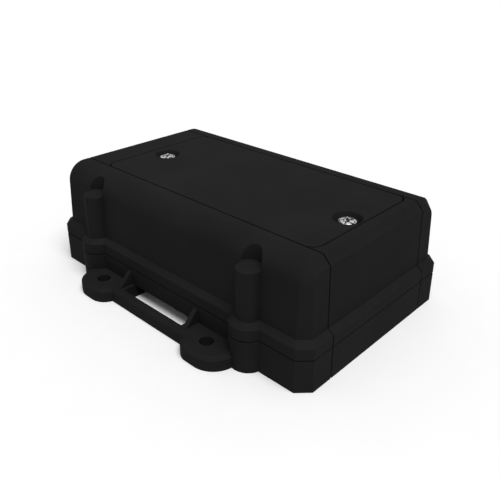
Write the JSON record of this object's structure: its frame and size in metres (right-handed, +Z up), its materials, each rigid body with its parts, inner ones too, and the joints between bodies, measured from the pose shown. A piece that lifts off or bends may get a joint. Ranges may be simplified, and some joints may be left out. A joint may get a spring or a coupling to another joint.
{
  "type": "sealed cellular unit",
  "caption": "Rugged sealed box with rounded shoulders, screw columns, an inlaid access panel, strap slots and screw ears, holding a radio board and a battery pack.",
  "frame": {"origin": "centre of the case's underside, on the surface it rests on", "axes": "+X along the length towards the end where a panel screw sits close to the panel's edge, +Y across the width, +Z up"},
  "size_m": [0.15, 0.1194, 0.048],
  "materials": {
    "case_black": "fine matte texture",
    "cover_black": "fine matte texture",
    "panel_black": "fine matte texture",
    "gasket_rubber": "silicone rubber",
    "panel_gasket_rubber": "silicone rubber",
    "foam": "closed-cell foam",
    "screw_steel": "stainless steel",
    "case_screw_steel": "stainless steel",
    "board_screw_steel": "zinc plated",
    "insert_brass": "knurled brass",
    "panel_insert_brass": "knurled brass",
    "board_green": "solder mask over glass laminate",
    "module_lid": "nickel silver",
    "can_tin": "tin plate",
    "filter_ceramic": "silvered ceramic",
    "chip_black": "moulded epoxy",
    "capacitor_sleeve": "printed sleeve",
    "pin_brass": "gold plated",
    "sim_shell": "stamped stainless steel",
    "sim_plastic": "smooth",
    "switch_shell": "tin plate",
    "knob_black": "moulded",
    "led_lens": "clear lens",
    "antenna_metal_left": "stamped",
    "antenna_metal_right": "stamped",
    "vent_white": "porous film",
    "tray_plastic": "moulded",
    "cell_sleeve": "shrink sleeve",
    "contact_nickel": "nickel strip"
  },
  "bodies": {
    "base": {"base_shell": "case_black", "rim_gasket": "gasket_rubber", "case_screws": "case_screw_steel", "vent_membrane": "vent_white", "circuit_board": "board_green", "board_screws": "board_screw_steel", "radio_module": "module_lid", "shield_cans": "can_tin", "filter_blocks": "filter_ceramic", "board_chips": "chip_black", "capacitors": "capacitor_sleeve", "battery_pins": "pin_brass", "sim_holder": "sim_shell", "switch_body": "switch_shell", "status_leds": "led_lens", "antenna_left": "antenna_metal_left", "antenna_right": "antenna_metal_right"},
    "cover": {"cover_shell": "cover_black", "case_inserts": "insert_brass", "panel_inserts": "panel_insert_brass"},
    "panel": {"top_panel": "panel_black", "panel_gasket": "panel_gasket_rubber", "battery_pad": "foam"},
    "screw_left": {"panel_screw_left": "screw_steel"},
    "screw_right": {"panel_screw_right": "screw_steel"},
    "battery": {"battery_tray": "tray_plastic", "battery_cells": "cell_sleeve", "battery_contacts": "contact_nickel"},
    "sim": {"sim_card": "sim_plastic"},
    "switch": {"switch_knob": "knob_black"}
  },
  "joints": [
    {"name": "cover_lift", "type": "slide", "parent": "base", "child": "cover", "axis": [0, 0, 1], "range_m": [0, 0.045]},
    {"name": "panel_lift", "type": "slide", "parent": "cover", "child": "panel", "axis": [0, 0, 1], "range_m": [0, 0.07]},
    {"name": "screw_left_turn", "type": "hinge", "parent": "panel", "child": "screw_left", "pos_m": [-0.046, -0.0018, 0.046], "axis": [0, 0, 1], "continuous": true},
    {"name": "screw_right_turn", "type": "hinge", "parent": "panel", "child": "screw_right", "pos_m": [0.0583, -0.0018, 0.046], "axis": [0, 0, 1], "continuous": true},
    {"name": "battery_lift", "type": "slide", "parent": "base", "child": "battery", "axis": [0, 0, 1], "range_m": [0, 0.035]},
    {"name": "sim_slide", "type": "slide", "parent": "base", "child": "sim", "axis": [0, 1, 0], "range_m": [0, 0.014]},
    {"name": "switch_slide", "type": "slide", "parent": "base", "child": "switch", "axis": [0, 1, 0], "range_m": [0, 0.0026]}
  ],
  "couplings": [
    {"joint": "battery_lift", "follows": "panel_lift", "ratio": 0.5}
  ]
}
